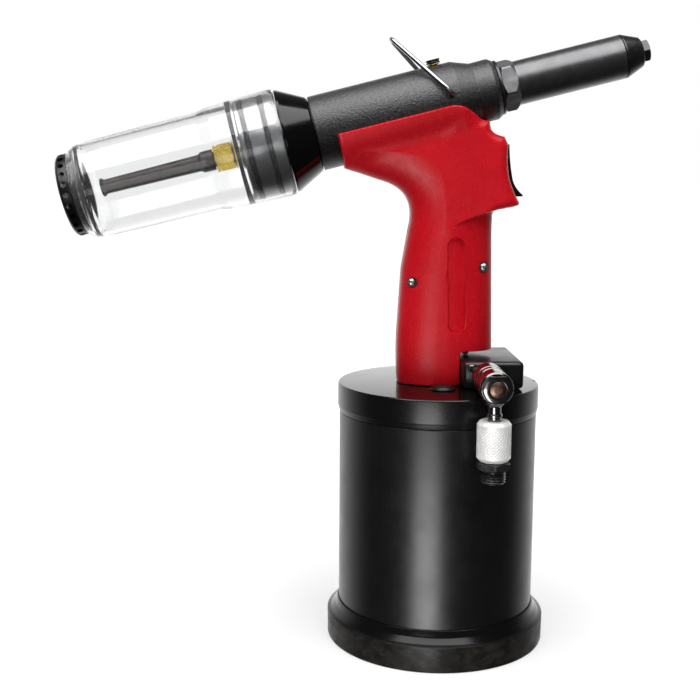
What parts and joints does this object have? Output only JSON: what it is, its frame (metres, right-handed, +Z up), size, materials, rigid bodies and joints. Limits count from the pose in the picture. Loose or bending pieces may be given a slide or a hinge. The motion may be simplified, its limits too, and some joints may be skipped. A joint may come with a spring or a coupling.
{
  "type": "blind rivet gun",
  "caption": "Hydro-pneumatic blind rivet gun standing on a black air cylinder, with a red pistol grip, tilted head, clear spent-mandrel collector and hanging air-inlet swivel.",
  "frame": {"origin": "centre of the foot's flat underside, on the air cylinder's axis", "axes": "+Z up along the air cylinder, +X towards the nose side, the air inlet on the -Y side; the head's axis lies in the XZ plane, nose up by 14.3 degrees"},
  "size_m": [0.3096, 0.1322, 0.3251],
  "materials": {
    "foot_rubber": "semi-matt moulded rubber",
    "satin_black": "satin black anodised",
    "gloss_black": "gloss black anodised",
    "satin_black_steel": "satin black oxide",
    "gloss_black_steel": "polished black oxide",
    "black_casting": "coarse textured black coat",
    "bare_aluminium": "machined",
    "steel": "ground",
    "dark_steel": "black oxide",
    "guide_steel": "browned steel",
    "chrome": "bright chrome plate",
    "brass": "bright brass",
    "bronze": "bearing bronze",
    "seal_rubber": "nitrile rubber",
    "red_plastic": "fine-textured moulded plastic",
    "black_plastic": "smooth moulded plastic",
    "clear_plastic": "clear polycarbonate"
  },
  "bodies": {
    "frame": {"foot_boot": "foot_rubber", "bottom_cap": "bare_aluminium", "cylinder_tube": "satin_black", "cylinder_lid": "gloss_black", "lid_plug": "gloss_black", "ram_gland": "bronze", "hydraulic_column": "bare_aluminium", "valve_block": "gloss_black", "valve_block_plug": "dark_steel", "valve_end_plug": "dark_steel", "pilot_tube": "dark_steel", "trigger_valve_body": "brass", "trigger_spring": "steel", "trigger_pin": "steel", "handle_shell_left": "red_plastic", "handle_shell_right": "red_plastic", "handle_screw_rear": "dark_steel", "handle_screw_front": "dark_steel", "inlet_adapter": "chrome", "banjo_bolt": "chrome", "banjo_washer": "brass", "rear_cone": "gloss_black", "rear_hub": "bare_aluminium", "collector_oring_front": "seal_rubber", "collector_oring_rear": "seal_rubber", "guide_tube": "guide_steel", "guide_nut": "brass", "head_casting": "black_casting", "return_spring": "steel", "front_gland": "bronze", "nose_ring": "dark_steel", "lock_nut": "dark_steel", "nose_sleeve": "satin_black_steel", "nose_cap": "gloss_black_steel", "nosepiece": "dark_steel", "bleed_screw": "dark_steel", "bleed_washer": "brass"},
    "air_ram": {"air_piston": "bare_aluminium", "air_piston_seal": "seal_rubber", "ram_rod": "steel", "ram_nut": "steel"},
    "pull_unit": {"pull_piston": "steel", "pull_piston_seal": "seal_rubber", "pull_rod": "steel", "jaw_case": "steel", "pusher_spring": "steel"},
    "jaw_a": {"jaw_1": "dark_steel"},
    "jaw_b": {"jaw_2": "dark_steel"},
    "jaw_c": {"jaw_3": "dark_steel"},
    "jaw_follower": {"jaw_pusher": "steel"},
    "trigger_lever": {"trigger": "black_plastic"},
    "pilot_stem": {"valve_stem": "steel"},
    "spool": {"valve_spool": "bare_aluminium"},
    "inlet_swivel": {"swivel_body": "chrome"},
    "hose_union": {"knurled_collar": "steel", "hose_nipple": "dark_steel"},
    "collector": {"collector_bottle": "clear_plastic"},
    "collector_end": {"collector_cap": "black_plastic"},
    "hanger": {"hanger_bail": "steel"}
  },
  "joints": [
    {"name": "ram_slide", "type": "slide", "parent": "frame", "child": "air_ram", "axis": [0, 0, 1], "range_m": [0, 0.09]},
    {"name": "pull_slide", "type": "slide", "parent": "frame", "child": "pull_unit", "axis": [-0.9691, 0, -0.2468], "range_m": [0, 0.02], "stiffness_N_per_m": 1500, "springref_m": -0.01, "deforming": ["return_spring"]},
    {"name": "jaw_a_slide", "type": "slide", "parent": "pull_unit", "child": "jaw_a", "axis": [0.9136, 0, 0.4066], "range_m": [0, 0.002]},
    {"name": "jaw_b_slide", "type": "slide", "parent": "pull_unit", "child": "jaw_b", "axis": [0.976, -0.1459, 0.1616], "range_m": [0, 0.002]},
    {"name": "jaw_c_slide", "type": "slide", "parent": "pull_unit", "child": "jaw_c", "axis": [0.976, 0.1459, 0.1616], "range_m": [0, 0.002]},
    {"name": "follower_slide", "type": "slide", "parent": "pull_unit", "child": "jaw_follower", "axis": [0.9691, 0, 0.2468], "range_m": [0, 0.002], "deforming": ["pusher_spring"]},
    {"name": "trigger_pivot", "type": "hinge", "parent": "frame", "child": "trigger_lever", "pos_m": [0.0285, 0, 0.265], "axis": [0, 1, 0], "range_deg": [0, 9], "stiffness_Nm_per_rad": 0.1, "springref_deg": -5.73},
    {"name": "stem_slide", "type": "slide", "parent": "frame", "child": "pilot_stem", "axis": [-1, 0, 0], "range_m": [0, 0.0022], "deforming": ["trigger_spring"]},
    {"name": "spool_slide", "type": "slide", "parent": "frame", "child": "spool", "axis": [0, -1, 0], "range_m": [0, 0.005]},
    {"name": "inlet_turn", "type": "hinge", "parent": "frame", "child": "inlet_swivel", "pos_m": [0.021, -0.063, 0.1502], "axis": [0, 1, 0], "continuous": true},
    {"name": "hose_turn", "type": "hinge", "parent": "inlet_swivel", "child": "hose_union", "pos_m": [0.021, -0.063, 0.12], "axis": [0, 0, 1], "continuous": true},
    {"name": "collector_pull", "type": "slide", "parent": "frame", "child": "collector", "axis": [-0.9691, 0, -0.2468], "range_m": [0, 0.112]},
    {"name": "cap_pull", "type": "slide", "parent": "collector", "child": "collector_end", "axis": [-0.9691, 0, -0.2468], "range_m": [0, 0.016]},
    {"name": "hanger_tilt", "type": "hinge", "parent": "frame", "child": "hanger", "pos_m": [0.0028, 0, 0.293], "axis": [0, 1, 0], "range_deg": [-5, 70]}
  ],
  "couplings": [
    {"joint": "pull_slide", "follows": "ram_slide", "ratio": 0.2222},
    {"joint": "jaw_a_slide", "follows": "ram_slide", "ratio": 0.0222},
    {"joint": "jaw_b_slide", "follows": "ram_slide", "ratio": 0.0222},
    {"joint": "jaw_c_slide", "follows": "ram_slide", "ratio": 0.0222},
    {"joint": "follower_slide", "follows": "ram_slide", "ratio": 0.0219},
    {"joint": "stem_slide", "follows": "trigger_pivot", "m_per_rad": 0.013},
    {"joint": "spool_slide", "follows": "trigger_pivot", "m_per_rad": 0.0318}
  ]
}
